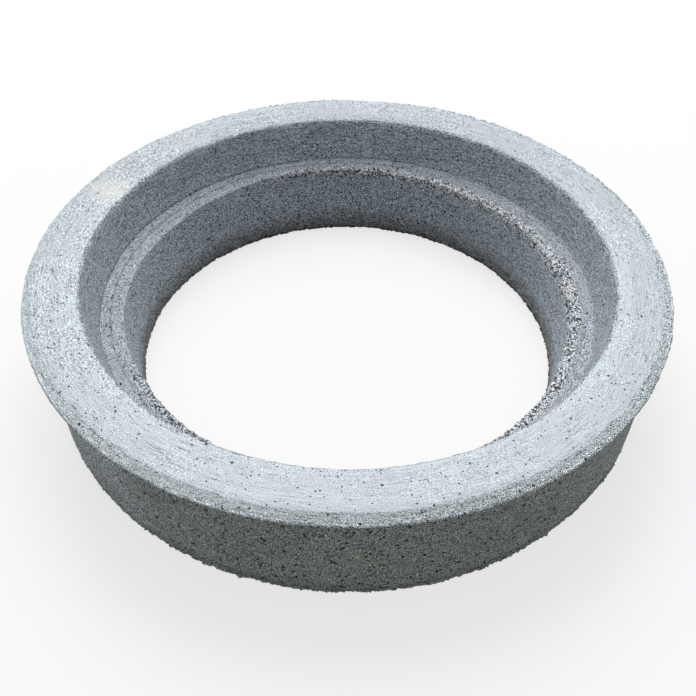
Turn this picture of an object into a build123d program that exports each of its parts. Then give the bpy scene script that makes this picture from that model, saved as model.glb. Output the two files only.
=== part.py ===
from build123d import *
import os

# A concrete culvert ring, cast in one piece. It stands on its narrow end with
# the socket upwards. The origin is at the centre of the base, with +Z upwards.

# Overall sizes, in millimetres
overall_height = 173.0
rim_diameter = 884.0  # across the outer arris of the rim

# Rim: a flat top face, a worn bevel outside it and a shallow overhang below
rim_bevel_width = 14.0
rim_bevel_drop = 7.0
rim_lip_height = 4.0  # upright lip under the arris
rim_underside_drop = 8.0  # slope from the lip back to the body

# Body: the outside tapers towards the base
body_top_diameter = 860.0
body_base_diameter = 844.0

# Socket: it narrows from its mouth down to the ledge
socket_mouth_diameter = 734.0
socket_foot_diameter = 697.0
socket_depth = 63.0

# Ledge: a level seat outside, then a tier that falls towards the bore
seat_width = 14.0
ledge_fall = 3.0

# Bore: it narrows from the ledge down to the base
bore_top_diameter = 632.0
bore_base_diameter = 600.0

# Rounded corners of the rim, the socket and the ledge
arris_radius = 3.0
mouth_radius = 7.0
seat_root_radius = 3.0
ledge_edge_radius = 3.0

# Bevels that break the two edges of the base
base_outer_bevel = 4.0
base_inner_bevel = 3.0

# Corners of the section, as distance from the axis and height above the base
arris_height = overall_height - rim_bevel_drop
lip_height = arris_height - rim_lip_height
neck_height = lip_height - rim_underside_drop
seat_height = overall_height - socket_depth

base_inner = (bore_base_diameter / 2, 0)
base_outer = (body_base_diameter / 2, 0)
neck = (body_top_diameter / 2, neck_height)
lip = (rim_diameter / 2, lip_height)
arris = (rim_diameter / 2, arris_height)
bevel_top = (rim_diameter / 2 - rim_bevel_width, overall_height)
mouth = (socket_mouth_diameter / 2, overall_height)
seat_root = (socket_foot_diameter / 2, seat_height)
seat_edge = (socket_foot_diameter / 2 - seat_width, seat_height)
ledge_edge = (bore_top_diameter / 2, seat_height - ledge_fall)

rounded_corners = [
    (arris, arris_radius),
    (mouth, mouth_radius),
    (seat_root, seat_root_radius),
    (ledge_edge, ledge_edge_radius),
]
bevelled_corners = [
    (base_outer, base_outer_bevel),
    (base_inner, base_inner_bevel),
]

# The ring is its section turned about the upright axis
with BuildPart() as culvert_ring:
    with BuildSketch(Plane.XZ) as section:
        with BuildLine():
            Polyline(
                base_inner,
                base_outer,
                neck,
                lip,
                arris,
                bevel_top,
                mouth,
                seat_root,
                seat_edge,
                ledge_edge,
                close=True,
            )
        make_face()
        for corner, radius in rounded_corners:
            fillet(section.vertices().sort_by_distance(corner)[0], radius)
        for corner, width in bevelled_corners:
            chamfer(section.vertices().sort_by_distance(corner)[0], width)
    revolve(axis=Axis.Z)

culvert_ring.part.label = "culvert_ring"

os.makedirs("parts", exist_ok=True)
export_step(culvert_ring.part, "parts/culvert_ring.step")
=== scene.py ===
import math
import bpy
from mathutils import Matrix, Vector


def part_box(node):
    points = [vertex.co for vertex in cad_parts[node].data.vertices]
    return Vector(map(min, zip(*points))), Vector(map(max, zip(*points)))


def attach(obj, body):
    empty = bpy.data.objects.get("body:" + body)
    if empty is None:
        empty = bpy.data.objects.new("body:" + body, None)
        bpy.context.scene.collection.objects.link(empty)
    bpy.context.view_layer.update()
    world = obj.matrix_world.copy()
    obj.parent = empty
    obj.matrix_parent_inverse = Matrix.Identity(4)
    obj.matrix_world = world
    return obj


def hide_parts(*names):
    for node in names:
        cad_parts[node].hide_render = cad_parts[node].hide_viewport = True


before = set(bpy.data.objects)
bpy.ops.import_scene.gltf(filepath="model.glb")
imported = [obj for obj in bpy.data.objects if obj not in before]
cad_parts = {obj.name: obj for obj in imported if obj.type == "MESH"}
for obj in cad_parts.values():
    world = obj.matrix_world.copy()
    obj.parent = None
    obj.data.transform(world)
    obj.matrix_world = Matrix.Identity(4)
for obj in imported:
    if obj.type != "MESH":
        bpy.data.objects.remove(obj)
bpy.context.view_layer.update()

from types import SimpleNamespace

import bmesh
import bpy
from mathutils import Vector

lowCorner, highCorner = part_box("culvert_ring")
rimRadius = highCorner.x
topHeight = highCorner.z
print("frame loaded, ring", round(2 * rimRadius, 3), "m across")

# The cast ring, in metres. Its section is turned about the upright axis.
ring = {
    "segments": 600,
    "bevelWidth": 0.014,
    "bevelDrop": 0.007,
    "lipHeight": 0.004,
    "undersideDrop": 0.008,
    "bodyTop": 0.430,
    "bodyBase": 0.422,
    "mouth": 0.367,
    "socketFoot": 0.3485,
    "socketDepth": 0.063,
    "seatWidth": 0.014,
    "tierStep": 0.001,  # a small step where the seat ends
    "ledgeFall": 0.003,
    "boreTop": 0.316,
    "boreBase": 0.300,
    "brokenReach": 0.022,  # how far the broken edge runs down the bore
    "brokenSpread": 0.013,  # how far it spreads over the ledge where it is worst
    "chippedReach": 0.012,  # how far chips reach up from the base
    "arrisRound": 0.003,
    "mouthRound": 0.007,
    "rootRound": 0.0015,
    "ledgeRound": 0.003,
    "baseBreak": 0.004,
    "hidden": 0.030,  # spacing of the points across the base
    "coarse": 0.0095,  # spacing on plain walls
    "fine": 0.0034,  # spacing along worn and broken edges, halved later
    "merge": 0.00001,  # points closer than this are one
}
seatHeight = topHeight - ring["socketDepth"]
ledgeHeight = seatHeight - ring["ledgeFall"]
arrisHeight = topHeight - ring["bevelDrop"]
lipHeight = arrisHeight - ring["lipHeight"]
neckHeight = lipHeight - ring["undersideDrop"]

# By angle round the ring, in degrees from +X: how broken the ledge's edge is,
# how worn the rim's arris is, and where the casting is out of round, in metres
brokenEdge = [
    (0, 1.0), (20, 0.9), (45, 0.75), (62, 0.7), (80, 0.6), (104, 0.55), (122, 0.3),
    (140, 0.06), (180, 0.05), (192, 0.12), (205, 0.4), (214, 0.9), (232, 0.95), (246, 0.6),
    (270, 0.5), (296, 0.65), (306, 0.95), (322, 1.0), (340, 0.85), (360, 1.0),
]
wornRim = [
    (0, 0.5), (25, 1.0), (75, 1.0), (110, 0.9), (150, 0.5), (195, 0.2), (240, 0.15),
    (270, 0.25), (300, 0.3), (330, 0.45), (360, 0.5),
]
ledgeDrift = [
    (0, -0.001), (20, -0.003), (50, -0.003), (75, 0.0015), (92, 0.005), (115, 0.005),
    (132, 0.0), (155, -0.002), (182, 0.0), (212, -0.002), (228, 0.003), (240, 0.006),
    (270, 0.006), (304, 0.007), (322, 0.003), (338, -0.003), (360, -0.001),
]
baseDrift = [
    (0, 0.001), (170, 0.0), (195, -0.003), (212, -0.0045), (240, -0.003), (262, -0.0015),
    (285, 0.0), (312, -0.001), (328, 0.0015), (342, 0.003), (360, 0.001),
]

# Relief in the order in which it is laid on: size of its lumps, detail, depth, and where
reliefLayers = {
    "uneven": {"size": 0.11, "detail": 2, "depth": 0.0022},
    "rippled": {"size": 0.022, "detail": 2, "depth": 0.0007},
    "wornLumps": {"size": 0.011, "detail": 2, "depth": 0.0036, "where": "worn", "level": 0.56},
    "wornGrains": {"size": 0.0040, "detail": 1, "depth": 0.0062, "where": "worn"},
    "mouthLumps": {"size": 0.008, "detail": 2, "depth": 0.0034, "where": "mouth"},
    "chips": {"size": 0.0036, "detail": 2, "depth": 0.0068, "where": "chipped", "level": 0.58},
    "largeChips": {"size": 0.016, "detail": 1, "depth": 0.0026, "where": "chipped", "level": 0.60},
    "brokenLumps": {"size": 0.012, "detail": 2, "depth": 0.0060, "where": "broken", "level": 0.52},
    "brokenCrumbs": {
        "size": 0.0050, "detail": 1, "depth": 0.0034, "where": "broken", "level": 0.4, "hard": True,
    },
}


def smooth(value, low, high):
    part = min(max((value - low) / (high - low), 0.0), 1.0)
    return part * part * (3 - 2 * part)


def angleOf(point):
    return math.degrees(math.atan2(point.y, point.x)) % 360


def byAngle(stops, angle):
    for (start, low), (end, high) in zip(stops, stops[1:]):
        if start <= angle <= end:
            return low + (high - low) * smooth(angle, start, end)
    return stops[-1][1]


def roundedCorner(before, corner, after, radius):
    # The arc that rounds a corner of the section, as points
    toBefore = (before - corner).normalized()
    toAfter = (after - corner).normalized()
    half = toBefore.angle(toAfter) / 2
    reach = radius / math.tan(half)
    centre = corner + (toBefore + toAfter).normalized() * radius / math.sin(half)
    start = (corner + toBefore * reach - centre).normalized()
    end = (corner + toAfter * reach - centre).normalized()
    steps = max(2, round(start.angle(end) * radius / ring["fine"]))
    return [centre + start.slerp(end, step / steps) * radius for step in range(steps + 1)]


def ringSection():
    # radius, height, rounding of this corner, spacing on the way to the next corner
    size = ring
    fine, coarse, hidden = size["fine"], size["coarse"], size["hidden"]
    chipped = size["chippedReach"]
    brokenFoot = ledgeHeight - size["brokenReach"]
    boreSlope = (size["boreTop"] - size["boreBase"]) / ledgeHeight
    bodySlope = (size["bodyTop"] - size["bodyBase"]) / neckHeight
    seatEdge = size["socketFoot"] - size["seatWidth"]
    step = size["tierStep"]
    corners = [
        (size["boreBase"] + size["baseBreak"], 0, 0, hidden),
        (size["bodyBase"] - size["baseBreak"], 0, 0, fine),
        (size["bodyBase"], size["baseBreak"], 0, fine),
        (size["bodyBase"] + bodySlope * chipped, chipped, 0, coarse),
        (size["bodyTop"], neckHeight, 0, fine),
        (rimRadius, lipHeight, 0, fine),
        (rimRadius, arrisHeight, size["arrisRound"], fine),
        (rimRadius - size["bevelWidth"], topHeight, 0, coarse),
        (size["mouth"], topHeight, size["mouthRound"], coarse),
        (size["socketFoot"], seatHeight, size["rootRound"], coarse),
        (seatEdge, seatHeight, 0, fine),
        (seatEdge - step, seatHeight - step, 0, fine),
        (size["boreTop"], ledgeHeight, size["ledgeRound"], fine),
        (size["boreBase"] + boreSlope * brokenFoot, brokenFoot, 0, coarse),
        (size["boreBase"] + boreSlope * chipped, chipped, 0, fine),
        (size["boreBase"], size["baseBreak"], 0, fine),
    ]
    places = [Vector(corner[:2]) for corner in corners]
    stretches = []
    for index, (_, _, rounding, spacing) in enumerate(corners):
        arc = [places[index]]
        if rounding:
            after = places[(index + 1) % len(places)]
            arc = roundedCorner(places[index - 1], places[index], after, rounding)
        stretches.append((arc, spacing))
    section = []
    for index, (arc, spacing) in enumerate(stretches):
        start, end = arc[-1], stretches[(index + 1) % len(stretches)][0][0]
        cuts = max(1, round((end - start).length / spacing))
        section += arc[:-1] + [start.lerp(end, cut / cuts) for cut in range(cuts)]
    return section


def brokenAt(point):
    # Strong on the ledge's edge, gone a little way onto the ledge and down the bore
    radius = point.xy.length
    if radius > ring["socketFoot"] or point.z > seatHeight + 0.002:
        return 0.0
    share = byAngle(brokenEdge, angleOf(point))
    reach = ring["boreTop"] + ring["brokenSpread"] * share - 0.002
    onLedge = 1 - smooth(radius, reach, reach + 0.005 + 0.004 * share)
    downBore = smooth(point.z, ledgeHeight - 0.8 * ring["brokenReach"], ledgeHeight - 0.006)
    return share * onLedge * downBore


def wornAt(point):
    # The bevel outside the top face, and the arris below it
    radius = point.xy.length
    inner = rimRadius - ring["bevelWidth"]
    onRim = smooth(radius, inner - 0.001, inner + 0.004) * smooth(point.z, neckHeight, lipHeight)
    return onRim * byAngle(wornRim, angleOf(point)) if onRim else 0.0


def chippedAt(point):
    # The two edges of the base
    fromInside = abs(point.xy.length - ring["boreBase"])
    fromOutside = abs(point.xy.length - ring["bodyBase"])
    nearEdge = 1 - smooth(min(fromInside, fromOutside), 0.004, 0.009)
    return nearEdge * (1 - smooth(point.z, 0.4 * ring["chippedReach"], ring["chippedReach"]))


def mouthAt(point):
    # The rounded edge between the top face and the socket
    outward = point.xy.length - ring["mouth"]
    near = smooth(outward, -0.010, -0.002) * (1 - smooth(outward, 0.006, 0.014))
    return near * smooth(point.z, topHeight - 0.020, topHeight - 0.008)


def outOfRound(point):
    # Moves a point of the true ring to where the real casting has it
    radius = point.xy.length
    drift = 0.0
    if radius > 0.4 and point.z < neckHeight - 0.001:
        drift = byAngle(baseDrift, angleOf(point)) * (1 - 0.8 * smooth(point.z, 0.01, neckHeight))
    elif radius < ring["socketFoot"] - 0.004 and point.z <= seatHeight:
        onTier = 1 - smooth(radius, ring["boreTop"] + 0.004, ring["socketFoot"] - 0.004)
        drift = byAngle(ledgeDrift, angleOf(point)) * onTier * smooth(point.z, 0.02, ledgeHeight)
    away = Vector((point.x, point.y, 0)) / radius
    return point + away * drift


def selectFaces(piece, wanted):
    bpy.ops.mesh.select_all(action="DESELECT")
    mesh = bmesh.from_edit_mesh(piece.data)
    for face in mesh.faces:
        face.select_set(wanted(face.calc_center_median()))
    bmesh.update_edit_mesh(piece.data)


def store(piece, name, values):
    # One number for each point, which the finish reads
    layer = piece.data.attributes.new(name, "FLOAT", "POINT")
    layer.data.foreach_set("value", values)


def paint(piece, name, weightAt):
    # A weight for the modifiers, also kept for the finish
    group = piece.vertex_groups.new(name=name)
    values = [weightAt(vertex.co) for vertex in piece.data.vertices]
    for index, value in enumerate(values):
        if value > 0:
            group.add([index], value, "REPLACE")
    store(piece, name + "Share", values)


def roughen(piece, name, layer):
    texture = bpy.data.textures.new(name, "CLOUDS")
    texture.noise_scale = layer["size"]
    texture.noise_depth = layer["detail"]
    texture.noise_type = "HARD_NOISE" if layer.get("hard") else "SOFT_NOISE"
    modifier = piece.modifiers.new(name, "DISPLACE")
    modifier.texture = texture
    modifier.texture_coords = "LOCAL"
    modifier.strength = layer["depth"]
    modifier.mid_level = layer.get("level", 0.5)
    modifier.vertex_group = layer.get("where", "")
    bpy.ops.object.modifier_apply(modifier=name)


def turnSection(section):
    bpy.ops.object.select_all(action="DESELECT")
    bpy.ops.mesh.primitive_circle_add(vertices=len(section), fill_type="NOTHING")
    piece = bpy.context.object
    for vertex, place in zip(piece.data.vertices, section):
        vertex.co = (place.x, 0, place.y)
    turn = piece.modifiers.new("turn", "SCREW")  # once round the upright axis
    turn.steps = turn.render_steps = ring["segments"]
    turn.use_merge_vertices = True
    turn.merge_threshold = ring["merge"]
    bpy.ops.object.modifier_apply(modifier="turn")
    return piece


def makeRing():
    piece = turnSection(ringSection())
    piece.name = "ringCast"
    bpy.ops.object.mode_set(mode="EDIT")
    bpy.ops.mesh.select_all(action="SELECT")
    bpy.ops.mesh.remove_doubles(threshold=ring["merge"])
    bpy.ops.mesh.normals_make_consistent(inside=False)
    marks = {"broken": brokenAt, "worn": wornAt, "chipped": chippedAt}
    selectFaces(piece, lambda place: any(weightAt(place) > 0.02 for weightAt in marks.values()))
    bpy.ops.mesh.subdivide(number_cuts=1)
    bpy.ops.object.mode_set(mode="OBJECT")
    for name, weightAt in {**marks, "mouth": mouthAt}.items():
        paint(piece, name, weightAt)
    store(piece, "trueRadius", [vertex.co.xy.length for vertex in piece.data.vertices])
    store(piece, "trueHeight", [vertex.co.z for vertex in piece.data.vertices])
    for vertex in piece.data.vertices:
        vertex.co = outOfRound(vertex.co)
    before = [vertex.co.copy() for vertex in piece.data.vertices]
    outward = [vertex.normal.copy() for vertex in piece.data.vertices]
    for name, layer in reliefLayers.items():
        roughen(piece, name, layer)
    relief = [
        (vertex.co - place).dot(normal) * 1000
        for vertex, place, normal in zip(piece.data.vertices, before, outward)
    ]
    store(piece, "relief", relief)  # millimetres out of the true surface
    for vertex in piece.data.vertices:
        vertex.co.z = max(vertex.co.z, 0)  # nothing reaches below the floor
    bpy.ops.object.shade_smooth()
    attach(piece, "root")
    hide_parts("culvert_ring")
    return piece


castRing = makeRing()
print("ring modelled,", len(castRing.data.polygons), "faces")


class Wire:  # one output of a node, so that shader maths reads as plain maths
    def __init__(self, finish, socket):
        self.finish = finish
        self.socket = socket

    def maths(self, operation, *values):
        inputs = dict(enumerate(values))
        return self.finish.node("ShaderNodeMath", {"operation": operation}, inputs)

    def beside(self, output):
        # Another output of the same node
        return Wire(self.finish, self.socket.node.outputs[output])

    def __add__(self, other):
        return self.maths("ADD", self, other)

    def __radd__(self, other):
        return self.maths("ADD", other, self)

    def __sub__(self, other):
        return self.maths("SUBTRACT", self, other)

    def __rsub__(self, other):
        return self.maths("SUBTRACT", other, self)

    def __mul__(self, other):
        return self.maths("MULTIPLY", self, other)

    def __rmul__(self, other):
        return self.maths("MULTIPLY", other, self)

    def __truediv__(self, other):
        return self.maths("DIVIDE", self, other)

    def __rtruediv__(self, other):
        return self.maths("DIVIDE", other, self)

    def __pow__(self, other):
        return self.maths("POWER", self, other)

    def __rpow__(self, other):
        return self.maths("POWER", other, self)

    def __neg__(self):
        return 0 - self


class Finish:  # the nodes of a material or a world, and the few ways they are made
    def __init__(self, owner):
        owner.use_nodes = True
        self.owner = owner
        self.tree = owner.node_tree
        self.tree.nodes.clear()

    def node(self, kind, settings=None, inputs=None, output=0):
        made = self.tree.nodes.new(kind)
        for name, value in (settings or {}).items():
            setattr(made, name, value)
        for name, value in (inputs or {}).items():
            if isinstance(value, Wire):
                self.tree.links.new(value.socket, made.inputs[name])
            else:
                made.inputs[name].default_value = value
        return Wire(self, made.outputs[output]) if made.outputs else None

    def step(self, value, low, high):
        inputs = {"Value": value, "From Min": low, "From Max": high}
        return self.node("ShaderNodeMapRange", {"interpolation_type": "SMOOTHSTEP"}, inputs)

    def blend(self, factor, first, second):
        inputs = {0: factor, 6: first, 7: second}
        return self.node("ShaderNodeMix", {"data_type": "RGBA"}, inputs, 2)

    def shaded(self, colour, amount):
        # The colour made lighter or darker by a plain number
        return self.node("ShaderNodeVectorMath", {"operation": "SCALE"}, {0: colour, 3: amount})

    def noise(self, vector, scale, detail):
        # Soft noise about zero
        inputs = {"Vector": vector, "Scale": scale, "Detail": detail, "Roughness": 0.6}
        return self.node("ShaderNodeTexNoise", {}, inputs) - 0.5

    def scattered(self, vector, cell):
        # Distance from the nearest of many scattered points, and that point's own chance
        inputs = {"Vector": vector, "Scale": 1 / cell, "Randomness": 1.0}
        distance = self.node("ShaderNodeTexVoronoi", {}, inputs)
        chance = self.node("ShaderNodeSeparateColor", {}, {0: distance.beside(1)})
        return distance, chance

    def most(self, first, second):
        return self.node("ShaderNodeMath", {"operation": "MAXIMUM"}, {0: first, 1: second})

    def size(self, value):
        return self.node("ShaderNodeMath", {"operation": "ABSOLUTE"}, {0: value})

    def vector(self, operation, *values, output=0):
        inputs = dict(enumerate(values))
        return self.node("ShaderNodeVectorMath", {"operation": operation}, inputs, output)

    def join(self, *values):
        return self.node("ShaderNodeCombineXYZ", {}, dict(enumerate(values)))

    def parts(self, vector):
        first = self.node("ShaderNodeSeparateXYZ", {}, {0: vector})
        return first, first.beside(1), first.beside(2)

    def painted(self, name):
        # A number stored on the mesh's points
        return self.node("ShaderNodeAttribute", {"attribute_name": name}, {}, 2)

    def show(self, kind, shader):
        self.node(kind, {}, {"Surface": shader})
        return self.owner


# Each surface of the concrete: its colour as linear red, green and blue, how strongly
# its grain and its streaks show, its share of pores, and how rough it is.
# The walls are darker than the top face partly by their own colour and partly as painted shade.
traits = ("grain", "streaks", "pores", "rough")
surfaces = {
    "outside": {"colour": (0.342, 0.384, 0.359, 1), "traits": (1.0, 0.75, 0.7, 0.8)},
    "socket": {"colour": (0.348, 0.396, 0.431, 1), "traits": (1.0, 1.15, 0.35, 0.6)},
    "ledge": {"colour": (0.370, 0.412, 0.451, 1), "traits": (0.66, 0.7, 0.4, 0.6)},
    "bore": {"colour": (0.357, 0.402, 0.446, 1), "traits": (1.0, 0.7, 0.6, 0.6)},
    "top": {"colour": (0.610, 0.672, 0.722, 1), "traits": (0.34, 0.55, 0.25, 0.65)},
    "bevel": {"colour": (0.487, 0.551, 0.573, 1), "traits": (0.6, 0.8, 0.15, 0.8)},
}

# Grain from fine to coarse: scale per metre, detail, and its part in the colour and relief
grains = {
    "dust": {"scale": 960, "detail": 0, "tone": 7.4, "height": 0.6},
    "sand": {"scale": 520, "detail": 1, "tone": 0.4, "height": 0.4},
    "grit": {"scale": 260, "detail": 1, "tone": 0.1, "height": 0.4},
    "cloudy": {"scale": 70, "detail": 2, "tone": 0.15, "height": 0.8},
    "mottle": {"scale": 11, "detail": 3, "tone": 0.3, "height": 0.0},
}

# Trowel and mould marks drawn out round the ring: scale round it and across it
streaks = {
    "streak": {"round": 22, "across": 380, "detail": 1, "tone": 1.3, "height": 0.6},
    "band": {"round": 5, "across": 120, "detail": 2, "tone": 0.5, "height": 0.6},
}
brush = {"round": 330, "down": 30, "detail": 1, "tone": 0.25}  # upright marks of the mould

# Holes: spacing of the scattered points that they lie on, and radius, in metres
holeSizes = {
    "pin": {"cell": 0.0048, "radius": 0.0011},
    "pore": {"cell": 0.0080, "radius": 0.0017},
    "pit": {"cell": 0.0125, "radius": 0.0024},
    "gap": {"cell": 0.0036, "radius": 0.0012},
}
holeEdge = 0.86  # share of a hole's radius that is wholly dark
holeBend = 0.0032  # how far holes are pulled out of round
crumbSize = 0.0032

# Each stain and each patch of painted light and shade: its colour, and how much of it shows
stainsAndPaintedLight = {
    "pale": {"colour": (0.540, 0.594, 0.631, 1), "strength": 1.0},  # lighter towards the left and right of the outside
    "olive": {"colour": (0.36, 0.405, 0.335, 1), "strength": 0.8},  # patches on the outside
    "boreFootShade": {"colour": (0.13, 0.122, 0.112, 1), "strength": 0.85},  # painted shade darkening the foot of the bore
    "paintedSheen": {"colour": (0.84, 0.86, 0.81, 1), "strength": 0.7},  # painted sheen, a pale patch on the top face
    "grainHighlight": {"colour": (0.82, 0.85, 0.87, 1), "strength": 0.8},  # painted highlights on grains that catch the light
    # painted shade: pores and the gaps between crumbs are coloured near black
    "hole": {"colour": (0.018, 0.019, 0.019, 1), "strength": 0.95},
}
# Middle of the painted sheen on the top face
sheenPlace = (-0.3595, 0.1616, 0.173)

# How dark or light the painted shade lines and the painted light and shade get, as shares of the colour
shading = {
    "footShadeLine": 0.4,  # painted shade in the corner at the socket's foot
    "tierShadeLine": 0.3,  # painted shade at the step between the ledge's tiers
    "underShadeLine": 0.9,  # painted shadow along the bottom edge of the bore
    "footDarker": 0.3,  # the outside darker towards its foot
    "sillReflectedLight": 0.3,  # painted reflected light on its lowest strip
    # painted light on the left and right of the bore, the inside and the bevel
    "boreSideLight": 0.32,
    "insideSideLight": 0.1,
    "bevelSideLight": 0.2,
    # painted shade on the top face towards the back and the right
    "topBackShade": 0.08,
    "topRightShade": 0.03,
    # painted shade inside at the back
    "insideBackShade": 0.05,
    "topLeft": 0.05,
    "dashes": 0.25,
}
tierRadius = ring["socketFoot"] - ring["seatWidth"]


def readSpot(finish):
    # The direction of a point from the axis, and its radius and height on the true ring
    place = finish.node("ShaderNodeTexCoord", {}, {}, 3)
    x, y, _ = finish.parts(place)
    fromAxis = (x * x + y * y) ** 0.5
    return SimpleNamespace(
        place=place,
        x=x,
        eastward=x / fromAxis,
        northward=y / fromAxis,
        radius=finish.painted("trueRadius"),
        z=finish.painted("trueHeight"),
    )


def makeNoises(finish, spot):
    made = {
        name: finish.noise(spot.place, grain["scale"], grain["detail"]) for name, grain in grains.items()
    }
    across = spot.radius * 2.5 + spot.z  # grows steadily over every surface of the section
    for name, streak in streaks.items():
        turn = streak["round"]
        drawn = finish.join(spot.eastward * turn, spot.northward * turn, across * streak["across"])
        made[name] = finish.noise(drawn, 1, streak["detail"])
    turn = brush["round"]
    drawn = finish.join(spot.eastward * turn, spot.northward * turn, spot.z * brush["down"])
    made["brushed"] = finish.noise(drawn, 1, brush["detail"])
    return SimpleNamespace(**made)


def mixed(noise, sizes, part):
    # Several noises added up, each by its part in the colour or the relief
    return sum(getattr(noise, name) * size[part] for name, size in sizes.items())


def findSurfaces(finish, spot, noise):
    # Where each surface is, from 0 to 1, with borders that waver
    radius, z = spot.radius, spot.z
    waver = noise.cloudy * 0.005 + noise.grit * 0.003
    topInner = ring["mouth"] + 0.5 * ring["mouthRound"]
    bevelInner = rimRadius - ring["bevelWidth"]
    inside = 1 - finish.step(radius, 0.385, 0.395)
    high = finish.step(z, topHeight - 0.006, topHeight - 0.003)
    top = high * finish.step(radius + waver, topInner - 0.004, topInner + 0.001)
    outward = finish.step(radius + waver, bevelInner - 0.0006, bevelInner + 0.0012)
    bevel = outward * finish.step(z + waver * 0.5, arrisHeight - 0.0028, arrisHeight - 0.0010)
    ledge = inside * (1 - finish.step(z, seatHeight + 0.0002, seatHeight + 0.0012))
    seat = ledge * finish.step(radius, tierRadius - 0.001, tierRadius + 0.001)
    bore = ledge * (1 - finish.step(z, ledgeHeight - 0.005, ledgeHeight - 0.001))
    outside = (1 - inside) * (1 - top) * (1 - bevel)
    paleLeft = finish.step(-spot.x + noise.mottle * 0.3, 0.12, 0.42)
    paleRight = finish.step(spot.x + noise.mottle * 0.3, 0.16, 0.5) * 0.7
    return SimpleNamespace(
        inside=inside,
        top=top,
        bevel=bevel,
        ledge=ledge,
        seat=seat,
        bore=bore,
        outside=outside,
        paleSides=finish.most(paleLeft, paleRight),
        leftTop=top * finish.step(-spot.x, 0.05, 0.35),
        foot=outside * (1 - finish.step(z + noise.mottle * 0.01, 0.012, 0.026)),
        sill=outside * (1 - finish.step(z + noise.mottle * 0.006, 0.004, 0.010)),
    )


def mixSurfaces(finish, where):
    # The colour and the traits of whichever surface is there
    colour = surfaces["outside"]["colour"]
    share = dict(zip(traits, surfaces["outside"]["traits"]))
    masks = {
        "socket": where.inside,
        "ledge": where.ledge,
        "bore": where.bore,
        "top": where.top,
        "bevel": where.bevel,
    }
    for name, mask in masks.items():
        colour = finish.blend(mask, colour, surfaces[name]["colour"])
        for key, value in zip(traits, surfaces[name]["traits"]):
            share[key] = share[key] + (value - share[key]) * mask
    return colour, share


def addStainAndPaintedLight(finish, colour, name, mask):
    return finish.blend(mask * stainsAndPaintedLight[name]["strength"], colour, stainsAndPaintedLight[name]["colour"])


def addStainsAndPaintedLight(finish, colour, spot, noise, where):
    colour = addStainAndPaintedLight(finish, colour, "pale", where.outside * where.paleSides)
    olive = finish.step(noise.mottle + noise.cloudy * 0.5, 0.0, 0.3) * (1 - where.paleSides)
    colour = addStainAndPaintedLight(finish, colour, "olive", where.outside * olive)
    # Painted shade: the bore darker towards its foot
    boreFootShade = where.bore * (1 - finish.step(spot.z + noise.cloudy * 0.03, 0.003, 0.046))
    colour = addStainAndPaintedLight(finish, colour, "boreFootShade", boreFootShade)
    # A painted sheen: a pale patch on the top face round one place
    fromSheen = finish.vector("DISTANCE", spot.place, sheenPlace, output=1)
    fromSheen = fromSheen + noise.streak * 0.09 + noise.band * 0.06
    paintedSheen = where.top * (1 - finish.step(fromSheen, 0.006, 0.050))
    return addStainAndPaintedLight(finish, colour, "paintedSheen", paintedSheen)


def bendPlace(finish, spot):
    # The place pulled about a little, so that holes and crumbs are uneven
    bend = finish.node("ShaderNodeTexNoise", {}, {"Vector": spot.place, "Scale": 260, "Detail": 1}, 1)
    bend = finish.vector("SUBTRACT", bend, (0.5, 0.5, 0.5))
    bent = finish.vector("MULTIPLY_ADD", bend, (holeBend, holeBend, holeBend), spot.place)
    return finish.vector("MULTIPLY", bent, (1, 1, 0.95))


def holeMask(finish, bent, name, share):
    # Holes where the surface cuts through scattered points, for a share of the points
    cell, radius = holeSizes[name]["cell"], holeSizes[name]["radius"]
    distance, chance = finish.scattered(bent, cell)
    hole = 1 - finish.step(distance, radius / cell * holeEdge, radius / cell)
    return hole * finish.step(1 - chance, 1 - share, 1.02 - share)


def makePores(finish, bent, spot, noise, where, pores):
    # More of them in the west, on the ledge and the inner top face, and on the bevel at the back
    westward = finish.step(-spot.eastward - spot.northward * 0.25, 0.86, 1.02)
    innerTop = where.top * (1 - finish.step(spot.radius, 0.380, 0.392))
    pitted = westward * (where.ledge * 0.5 + innerTop * 0.8)
    backward = finish.step(spot.northward + spot.eastward * 0.5, 0.2, 0.8)
    pitted = pitted + where.bevel * backward * 0.6
    clustered = pores * (1 + noise.mottle * 2.5)
    pin = holeMask(finish, bent, "pin", clustered * (1 - where.outside * 0.5) + pitted)
    pore = holeMask(finish, bent, "pore", clustered * (1 - where.top * 0.6) + pitted * 0.5)
    pit = holeMask(finish, bent, "pit", clustered * where.outside * 1.2)
    return finish.most(finish.most(pin, pore), pit)


def makeCrumbs(finish, bent, spot, noise):
    # Crumbs along the broken edge: where they are, the gaps between them, which get painted shade, and
    # their lit tops, which get painted highlights stronger towards the east
    relief = finish.painted("relief")
    broken = finish.step(finish.painted("brokenShare") + noise.cloudy * 0.5, 0.22, 0.55)
    fromMiddle, crumb = finish.scattered(bent, crumbSize)
    gaps = finish.step(fromMiddle + crumb * 0.25 - relief * 0.03, 0.74, 0.90) * broken
    gaps = finish.most(gaps, holeMask(finish, bent, "gap", broken * 0.65))
    lit = (1 - finish.step(fromMiddle + crumb * 0.3 - relief * 0.02, 0.6, 0.95)) * broken
    return broken, gaps, lit * (0.6 + spot.eastward * 0.2)


def litArris(finish, spot, noise, where):
    # Painted highlights: pale grains in patches along the rim's arris, as if catching the light
    arris = where.bevel * finish.step(spot.radius, rimRadius - 0.0045, rimRadius - 0.0015)
    return arris * finish.step(noise.streak * 0.5 + noise.sand + noise.mottle, 0.02, 0.2)


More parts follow.
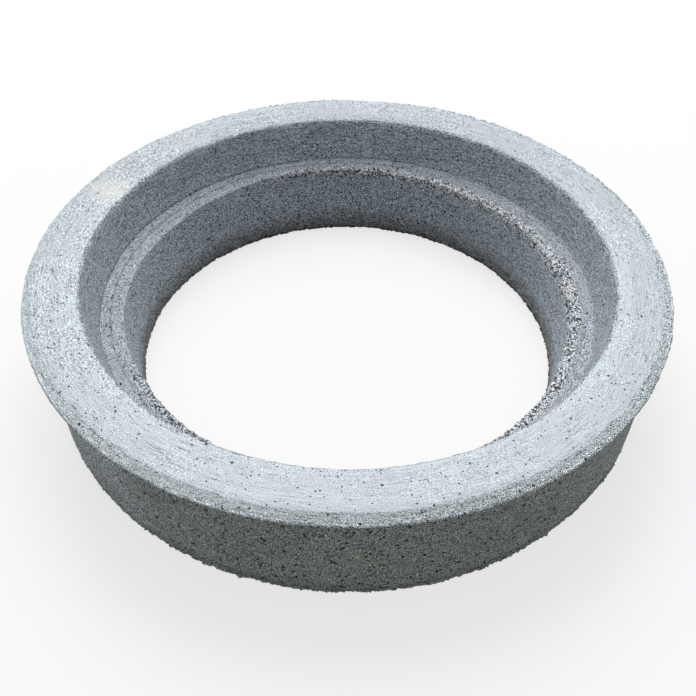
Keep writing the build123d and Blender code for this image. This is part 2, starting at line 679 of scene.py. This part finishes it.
def addShadeLines(finish, colour, spot, noise, where):
    # Painted shade: thin dark lines in the socket's foot, along the tier and at the bore's bottom edge,
    # the first two fading out on the right
    radius, z = spot.radius, spot.z
    footShadeLine = 1 - finish.step(finish.size(z - seatHeight - 0.002), 0.0006, 0.0022)
    nearFoot = finish.step(radius, ring["socketFoot"] - 0.003, ring["socketFoot"])
    footShadeLine = footShadeLine * where.inside * nearFoot
    fromTier = finish.size(radius - tierRadius + noise.cloudy * 0.003)
    tierShadeLine = (1 - finish.step(fromTier, 0.0004, 0.0018)) * where.ledge
    underShadeLine = where.bore * (1 - finish.step(z + noise.grit * 0.010, 0.002, 0.008))
    awayRight = finish.step(spot.northward * 0.6 - spot.eastward, -0.1, 0.6)
    dark = (footShadeLine * shading["footShadeLine"] + tierShadeLine * shading["tierShadeLine"]) * awayRight
    dark = dark + underShadeLine * shading["underShadeLine"]
    return finish.shaded(colour, 1 - dark)


def addShading(finish, colour, spot, where):
    # The outside darker towards its foot with painted reflected light on its lowest strip, painted light
    # on the left and right inside and on the bevel, and painted shade on the top face's back and right
    # and inside at the back
    footAndSill = 1 - where.foot * shading["footDarker"] + where.sill * shading["sillReflectedLight"]
    colour = finish.shaded(colour, footAndSill)
    sideLight = where.bore * shading["boreSideLight"] + where.inside * shading["insideSideLight"]
    sideLight = sideLight + where.bevel * shading["bevelSideLight"]
    colour = finish.shaded(colour, 1 + spot.eastward * spot.eastward * sideLight)
    topShade = spot.northward * shading["topBackShade"] + spot.eastward * shading["topRightShade"]
    colour = finish.shaded(colour, 1 - where.top * topShade)
    back = (where.inside - where.seat) * finish.step(spot.northward, 0.0, 0.9)
    return finish.shaded(colour, 1 - back * shading["insideBackShade"])


def addGrain(finish, colour, spot, noise, where, share):
    # Grain and streaks, stronger in some places
    uneven = where.leftTop * 0.3 + where.paleSides * where.outside * 0.4
    uneven = uneven + where.bevel * spot.eastward * 0.4 + where.top * spot.northward * 0.4
    grain = mixed(noise, grains, "tone") * share["grain"] * (1 + uneven)
    marks = mixed(noise, streaks, "tone") * (share["streaks"] + where.foot * 1.4)
    marks = marks + noise.brushed * where.outside * brush["tone"]
    marks = marks * (1 + where.leftTop * 0.2)
    dashes = finish.step(-noise.streak - noise.band * 0.6, 0.17, 0.28)
    dashes = dashes * finish.most(where.top, where.inside)
    dashes = dashes * (shading["dashes"] + where.leftTop * 0.15)
    tone = grain + marks - dashes - where.leftTop * shading["topLeft"]
    return finish.shaded(colour, 1 + tone)


def makeRelief(finish, noise, share, holes, gaps, raised):
    # Fine relief in millimetres, too small for the mesh
    height = mixed(noise, grains, "height") * share["rough"]
    height = height + mixed(noise, streaks, "height") * share["streaks"]
    height = height - holes * 1.6 - gaps * 1.6 + raised * 0.8
    return finish.node("ShaderNodeBump", {}, {"Strength": 1.0, "Distance": 0.001, "Height": height})


def concreteFinish():
    finish = Finish(bpy.data.materials.new("castConcrete"))
    spot = readSpot(finish)
    noise = makeNoises(finish, spot)
    where = findSurfaces(finish, spot, noise)
    colour, share = mixSurfaces(finish, where)
    colour = addStainsAndPaintedLight(finish, colour, spot, noise, where)
    bent = bendPlace(finish, spot)
    holes = makePores(finish, bent, spot, noise, where, share["pores"])
    broken, gaps, lit = makeCrumbs(finish, bent, spot, noise)
    # Painted highlights on the crumbs' tops and on grains along the arris
    lit = finish.most(lit, litArris(finish, spot, noise, where))
    colour = addStainAndPaintedLight(finish, colour, "grainHighlight", lit)
    colour = addShadeLines(finish, colour, spot, noise, where)
    colour = addShading(finish, colour, spot, where)
    colour = addGrain(finish, colour, spot, noise, where, share)
    # Painted shade in the pores and in the gaps between crumbs
    colour = addStainAndPaintedLight(finish, colour, "hole", finish.most(holes, gaps * 0.85))
    relief = makeRelief(finish, noise, share, holes, gaps, lit * broken)
    inputs = {"Base Color": colour, "Roughness": 0.85, "Normal": relief, "Specular IOR Level": 0.3}
    shader = finish.node("ShaderNodeBsdfPrincipled", {}, inputs)
    return finish.show("ShaderNodeOutputMaterial", shader)


castRing.data.materials.clear()
castRing.data.materials.append(concreteFinish())
print("concrete finished")

# The floor, the light and the camera
studio = {
    "floorSize": 14.0,
    "floorPale": (0.93, 0.93, 0.93, 1),
    "floorDark": (0.16, 0.17, 0.16, 1),
    "floorGlow": 0.7,  # how much of the floor's white is its own, near the ring
    "floorFade": (1.2, 3.0),  # it fades to plain white over these distances
    "skyStrength": 0.45,
    "skyColour": (0.98, 0.99, 1.0, 1),
    "white": (1, 1, 1, 1),
    "lampSize": 4.6,
    "lampPlace": (-0.3, 3.3, 5.0),
    "lampPower": 285,
}


def makeFloor():
    bpy.ops.object.select_all(action="DESELECT")
    bpy.ops.mesh.primitive_plane_add(size=studio["floorSize"])
    floor = bpy.context.object
    floor.name = "floor"
    finish = Finish(bpy.data.materials.new("paleFloor"))
    path = finish.node("ShaderNodeLightPath", {}, {}, "Is Camera Ray")
    seen = path + path.beside("Is Glossy Ray") + path.beside("Is Transmission Ray")
    colour = finish.blend(seen, studio["floorDark"], studio["floorPale"])
    matt = finish.node("ShaderNodeBsdfDiffuse", {}, {"Color": colour})
    glow = finish.node("ShaderNodeEmission", {}, {"Color": studio["white"], "Strength": 1.0})
    place = finish.node("ShaderNodeTexCoord", {}, {}, 3)
    away = finish.vector("LENGTH", place, output=1)
    bright = studio["floorGlow"] + finish.step(away, *studio["floorFade"]) * (1 - studio["floorGlow"])
    shown = finish.node("ShaderNodeMixShader", {}, {0: seen * bright, 1: matt, 2: glow})
    floor.data.materials.append(finish.show("ShaderNodeOutputMaterial", shown))


def makeSky():
    # Soft light from all round, seen as plain white
    world = bpy.data.worlds.new("softSky")
    bpy.context.scene.world = world
    finish = Finish(world)
    seen = finish.node("ShaderNodeLightPath", {}, {}, "Is Camera Ray")
    inputs = {"Color": studio["skyColour"], "Strength": studio["skyStrength"]}
    sky = finish.node("ShaderNodeBackground", {}, inputs)
    white = finish.node("ShaderNodeBackground", {}, {"Color": studio["white"]})
    mix = finish.node("ShaderNodeMixShader", {}, {0: seen, 1: sky, 2: white})
    finish.show("ShaderNodeOutputWorld", mix)


def makeLamp():
    bpy.ops.object.light_add(type="AREA", location=studio["lampPlace"])
    lamp = bpy.context.object
    lamp.name = "softbox"
    lamp.data.size = studio["lampSize"]
    lamp.data.energy = studio["lampPower"]
    toRing = Vector((0, 0, topHeight)) - lamp.location
    lamp.rotation_euler = toRing.to_track_quat("-Z", "Y").to_euler()


# Where the photo was taken from
view = {
    "target": (0.0012, -0.1675, 0.166),
    "distance": 1.2389,
    "elevation": 44.21,
    "roll": 0.55,
    "lens": 50.48,
    "sensor": 36.0,
}


def makeCamera():
    elevation = math.radians(view["elevation"])
    back = Vector((0, -math.cos(elevation), math.sin(elevation)))
    place = Vector(view["target"]) + back * view["distance"]
    bpy.ops.object.camera_add(location=place, rotation=(math.pi / 2 - elevation, 0, 0))
    camera = bpy.context.object
    camera.name = "photoView"
    camera.rotation_euler.rotate_axis("Z", math.radians(view["roll"]))
    camera.data.lens = view["lens"]
    camera.data.sensor_width = view["sensor"]
    bpy.context.scene.camera = camera


makeFloor()
makeSky()
makeLamp()
makeCamera()
bpy.context.scene.view_settings.view_transform = "Standard"
print("stage set")
